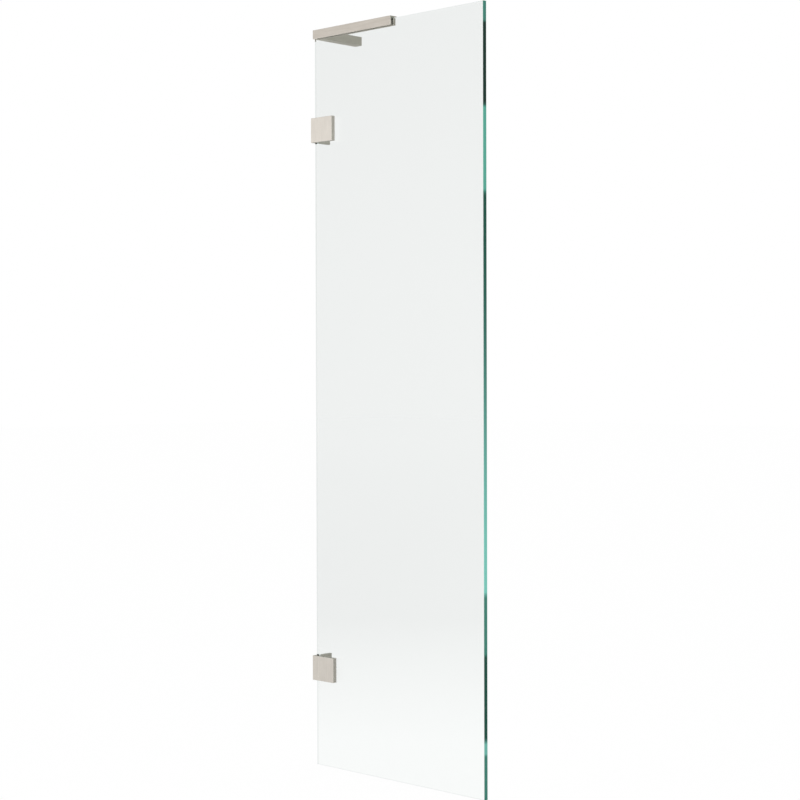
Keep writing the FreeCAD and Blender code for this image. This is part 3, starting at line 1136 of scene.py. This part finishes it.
def make_world():
    """White to the eye, a dark and bright room to a mirrored ray, and soft light to the rest."""
    world = bpy.data.worlds.new("studio")
    world.use_nodes = True
    tree = world.node_tree
    light = tree.nodes["Background"]
    way = add_node(tree, "ShaderNodeTexCoord").outputs["Generated"]
    sharp, soft, diffuse = ray_kinds(tree)
    dark = maths(tree, "MULTIPLY", towards(tree, DARK_SIDE, way, *DARK_SECTOR), sharp)
    dark_level = remap(tree, towards(tree, UP, way, *DARK_RISE), ROOM_DARK_LOW, ROOM_DARK_HIGH)
    behind = maths(tree, "MULTIPLY", towards(tree, TO_BACK, way, *BACK_SECTOR), sharp)
    front = towards(tree, BRIGHT_SIDE, way, *BRIGHT_SECTOR)
    bright = remap(tree, towards(tree, UP, way, *HIGH_RISE), ROOM_FRONT, ROOM_HIGH)
    for_glass = maths(tree, "MULTIPLY", dimmed(tree, dark, dark_level), dimmed(tree, behind, ROOM_BACK))
    room = maths(tree, "ADD", for_glass, room_for_metal(tree, soft, front, ROOM_GREY, bright))
    strength = maths(tree, "MULTIPLY", room, dimmed(tree, diffuse, AMBIENT))
    tree.links.new(strength, light.inputs["Strength"])
    tree.links.new(grey_tint(tree, soft, front, behind), light.inputs["Color"])
    world.cycles.sampling_method = "NONE"
    bpy.context.scene.world = world
    return world


print("World", make_world().name)

# %% [markdown]
# ## Floor
# The floor keeps a faint soft shadow and glows for the rest. To a ray that glass has mirrored it is
# white near the screen. Its dark and grey parts begin a little way off, and further out they fade to the
# levels of the room, so that no line shows at the horizon. Satin metal blurs that line, so to it the
# floor is just a little darker than the room.

# %% Floor
FLOOR_SPAN, FLOOR_DROP = 40.0, 0.2 * MM
FLOOR_WHITE, FLOOR_GLOW = 0.95, 0.97
FLOOR_DARK, FLOOR_DARK_REACH, FLOOR_DARK_FADE = 0.0, (0.4, 2.3), (4.0, 16.0)
FLOOR_BACK, FLOOR_BACK_REACH, FLOOR_BACK_FADE = 0.22, (0.25, 0.5), (1.5, 6.0)
FLOOR_FRONT, FLOOR_FRONT_REACH, FLOOR_GREY = 0.85, (0.15, 0.7), 0.36


def floor_part(tree, sharp, place, side, sector, reach):
    """The part of the floor that lies in a sector to one side and some way off, to a mirrored ray."""
    away = add_node(tree, "ShaderNodeVectorMath", operation="NORMALIZE")
    tree.links.new(place, away.inputs[0])
    in_sector = towards(tree, side, away.outputs["Vector"], *sector)
    far = towards(tree, side, place, *reach)
    return maths(tree, "MULTIPLY", sharp, maths(tree, "MULTIPLY", in_sector, far))


def make_floor():
    """A wide plane just under the screen."""
    bpy.ops.object.select_all(action="DESELECT")
    bpy.ops.mesh.primitive_plane_add(size=FLOOR_SPAN, location=(0, 0, glass_low.z - FLOOR_DROP))
    apply_place()
    floor = bpy.context.object
    floor.name = "floor"
    material, tree, shader = new_material("white_floor")
    set_matt(shader, (FLOOR_WHITE, FLOOR_WHITE, FLOOR_WHITE))
    place = add_node(tree, "ShaderNodeTexCoord").outputs["Object"]
    sharp, soft, diffuse = ray_kinds(tree)
    dark = floor_part(tree, sharp, place, DARK_SIDE, DARK_SECTOR, FLOOR_DARK_REACH)
    dark_fade = towards(tree, DARK_SIDE, place, *FLOOR_DARK_FADE)
    dark_level = remap(tree, dark_fade, FLOOR_DARK, ROOM_DARK_LOW)
    behind = floor_part(tree, sharp, place, TO_BACK, BACK_SECTOR, FLOOR_BACK_REACH)
    back_level = remap(tree, towards(tree, TO_BACK, place, *FLOOR_BACK_FADE), FLOOR_BACK, ROOM_BACK)
    front = towards(tree, BRIGHT_SIDE, place, *FLOOR_FRONT_REACH)
    for_glass = maths(tree, "MULTIPLY", dimmed(tree, dark, dark_level), dimmed(tree, behind, back_level))
    level = maths(tree, "ADD", for_glass, room_for_metal(tree, soft, front, FLOOR_GREY, FLOOR_FRONT))
    glow = add_node(tree, "ShaderNodeEmission")
    tree.links.new(level, glow.inputs["Strength"])
    tree.links.new(grey_tint(tree, soft, front, behind), glow.inputs["Color"])
    glow_share = remap(tree, diffuse, FLOOR_GLOW, 0.0)
    mix_shaders(tree, glow_share, shader.outputs["BSDF"], glow.outputs["Emission"])
    floor.data.materials.append(material)
    return floor


print("Floor", make_floor().name)

# %% [markdown]
# ## Lamp
# Most light comes from the world, so one large soft lamp in front and above is enough. It stands where
# the glass, as the camera sees it, doesn't mirror it. It is an area lamp, because a small lamp would
# draw hard spots on satin metal.

# %% Soft lamp
LAMP_PLACE = Vector((0.2, -3.2, 2.6))
LAMP_SIZE, LAMP_WATTS = 1.6, 25

bpy.ops.object.select_all(action="DESELECT")
lamp_way = (glass_low + glass_high) / 2 - LAMP_PLACE
bpy.ops.object.light_add(
    type="AREA", location=LAMP_PLACE, rotation=lamp_way.to_track_quat("-Z", "Y").to_euler())
lamp = bpy.context.object
lamp.name = "key_lamp"
lamp.data.size = LAMP_SIZE
lamp.data.energy = LAMP_WATTS
print(lamp.name, LAMP_WATTS, "W")

# %% [markdown]
# ## Camera
# The camera stands where the photograph was taken from: to the front right of the screen, a little
# above its middle and almost level, with a long lens. Its turn is built from yaw, pitch and roll.

# %% Camera and colour
CAMERA_PLACE = Vector((2.4602, -2.5242, 0.8067))
CAMERA_YAW, CAMERA_PITCH, CAMERA_ROLL = (math.radians(turn) for turn in (44.19, 0.90, -0.153))
FOCAL_PIXELS, IMAGE_PIXELS, SENSOR = 1794.6, 800, 36.0

scene = bpy.context.scene
bpy.ops.object.select_all(action="DESELECT")
bpy.ops.object.camera_add(location=CAMERA_PLACE)
camera = bpy.context.object
level_turn = Matrix.Rotation(CAMERA_YAW, 3, "Z") @ Matrix.Rotation(math.pi / 2 - CAMERA_PITCH, 3, "X")
camera.rotation_euler = (level_turn @ Matrix.Rotation(CAMERA_ROLL, 3, "Z")).to_euler()
camera.data.sensor_width = SENSOR
camera.data.lens = FOCAL_PIXELS * SENSOR / IMAGE_PIXELS
scene.camera = camera
scene.view_settings.view_transform = "Standard"
print("Camera", [round(value, 3) for value in camera.location], round(camera.data.lens, 2), "mm")
